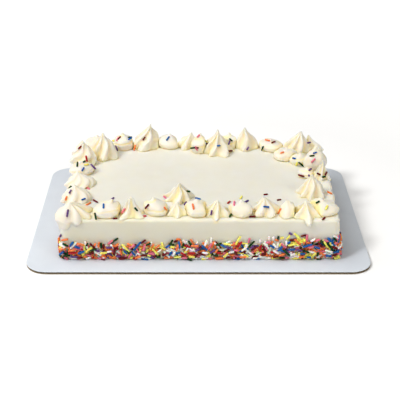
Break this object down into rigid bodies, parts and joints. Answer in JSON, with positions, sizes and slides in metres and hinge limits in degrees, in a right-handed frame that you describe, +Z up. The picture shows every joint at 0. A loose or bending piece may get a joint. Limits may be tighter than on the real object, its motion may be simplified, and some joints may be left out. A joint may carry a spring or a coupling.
{
  "type": "sheet cake on a board",
  "caption": "Rectangular frosted sheet cake on a rounded white board, with a piped border of stars and dollops and a band of sprinkles round its foot.",
  "frame": {"origin": "centre of the board's underside", "axes": "+X along the cake's length, -Y towards its front, +Z up"},
  "size_m": [0.356, 0.254, 0.076],
  "materials": {
    "frosting": "smooth cream icing with a faint sheen",
    "piped_frosting": "piped cream icing with a faint sheen",
    "coated_board": "white coated corrugated board with a brown cut edge",
    "sprinkles": "waxy sugar rods in nine colours"
  },
  "bodies": {
    "root": {"back_dollop_01": "piped_frosting", "back_dollop_04": "piped_frosting", "back_dollop_06": "piped_frosting", "back_dollop_08": "piped_frosting", "back_dollop_10": "piped_frosting", "back_dollop_12": "piped_frosting", "back_dollop_14": "piped_frosting", "back_star_02": "piped_frosting", "back_star_03": "piped_frosting", "back_star_05": "piped_frosting", "back_star_07": "piped_frosting", "back_star_09": "piped_frosting", "back_star_11": "piped_frosting", "back_star_13": "piped_frosting", "cake": "frosting", "cake_board": "coated_board", "front_dollop_02": "piped_frosting", "front_dollop_04": "piped_frosting", "front_dollop_07": "piped_frosting", "front_dollop_09": "piped_frosting", "front_star_11": "piped_frosting", "front_dollop_13": "piped_frosting", "front_star_01": "piped_frosting", "front_star_03": "piped_frosting", "front_star_05": "piped_frosting", "front_star_06": "piped_frosting", "front_star_08": "piped_frosting", "front_star_10": "piped_frosting", "front_star_12": "piped_frosting", "left_star_01": "piped_frosting", "left_dollop_02": "piped_frosting", "left_star_04": "piped_frosting", "left_star_03": "piped_frosting", "right_dollop_03": "piped_frosting", "right_dollop_04": "piped_frosting", "right_dollop_05": "piped_frosting", "right_star_01": "piped_frosting", "right_star_02": "piped_frosting"}
  },
  "joints": []
}
